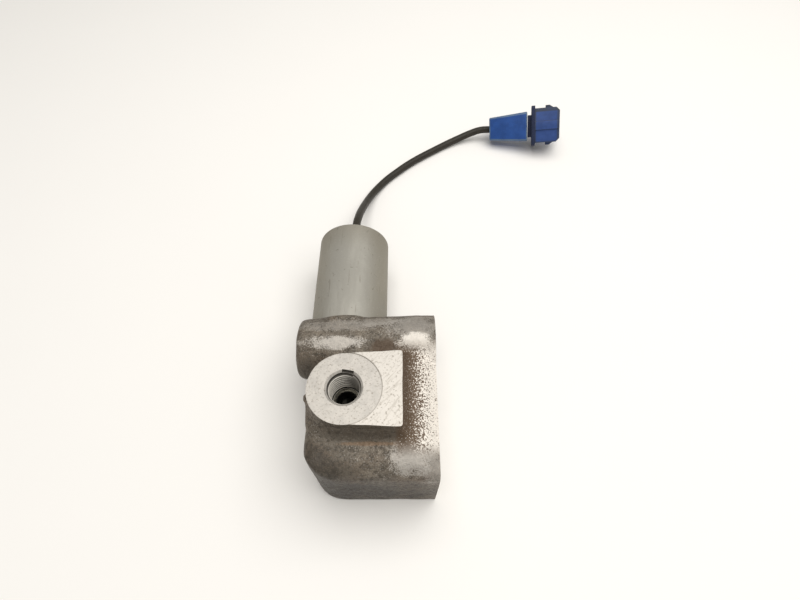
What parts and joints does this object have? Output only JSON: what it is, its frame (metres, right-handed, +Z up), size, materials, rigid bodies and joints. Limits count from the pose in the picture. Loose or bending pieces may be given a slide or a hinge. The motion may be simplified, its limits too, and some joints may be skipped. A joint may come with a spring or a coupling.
{
  "type": "solenoid directional valve",
  "caption": "Cast valve block with one threaded port on a raised pad, a side mounting face, a tubular solenoid on the valve's axis and a short lead ending in a two-way connector.",
  "frame": {"origin": "on the casting's underside, below the point where the valve axis passes under the port axis", "axes": "+Y along the valve axis towards the solenoid, +X out of the mounting face, +Z up out of the port pad"},
  "size_m": [0.1358, 0.2206, 0.045],
  "materials": {
    "cast_aluminium": "rough sand-cast aluminium, stained, with machined pad",
    "zinc_plate": "satin zinc-plated steel",
    "steel": "ground steel",
    "brass": "satin",
    "copper": "enamelled copper wire",
    "rubber_black": "matt rubber",
    "cable_sheath": "matt sheath",
    "plastic_black": "moulded plastic",
    "plastic_navy": "moulded plastic",
    "plastic_blue": "moulded plastic",
    "rubber_blue": "satin rubber"
  },
  "bodies": {
    "valve_body": {"body_casting": "cast_aluminium", "port_seat_ring": "steel", "valve_sleeve": "steel", "return_spring": "steel", "spring_seat": "steel", "sleeve_o_ring_front": "rubber_black", "sleeve_o_ring_rear": "rubber_black", "solenoid_can": "zinc_plate", "pole_piece": "steel", "spigot_o_ring": "rubber_black", "guide_tube": "brass", "coil_bobbin": "plastic_black", "coil_winding": "copper", "rear_yoke": "steel", "end_cap": "plastic_black", "cable_grommet": "rubber_black", "strainer_frame": "plastic_black", "strainer_gauze": "steel", "supply_face_seal": "rubber_black", "return_face_seal": "rubber_black", "cable": "cable_sheath", "cable_boot": "rubber_blue", "connector_housing": "plastic_blue", "contact_carrier": "plastic_navy", "terminal_a": "brass", "terminal_b": "brass"},
    "armature": {"plunger": "steel", "plunger_shim": "brass", "push_pin": "steel"},
    "spool": {"spool": "steel"}
  },
  "joints": [
    {"name": "plunger_slide", "type": "slide", "parent": "valve_body", "child": "armature", "axis": [0, -1, 0], "range_m": [0, 0.003], "stiffness_N_per_m": 600, "springref_m": -0.004},
    {"name": "spool_slide", "type": "slide", "parent": "valve_body", "child": "spool", "axis": [0, -1, 0], "range_m": [0, 0.003], "deforming": ["return_spring"]}
  ],
  "couplings": [
    {"joint": "spool_slide", "follows": "plunger_slide", "ratio": 1}
  ]
}
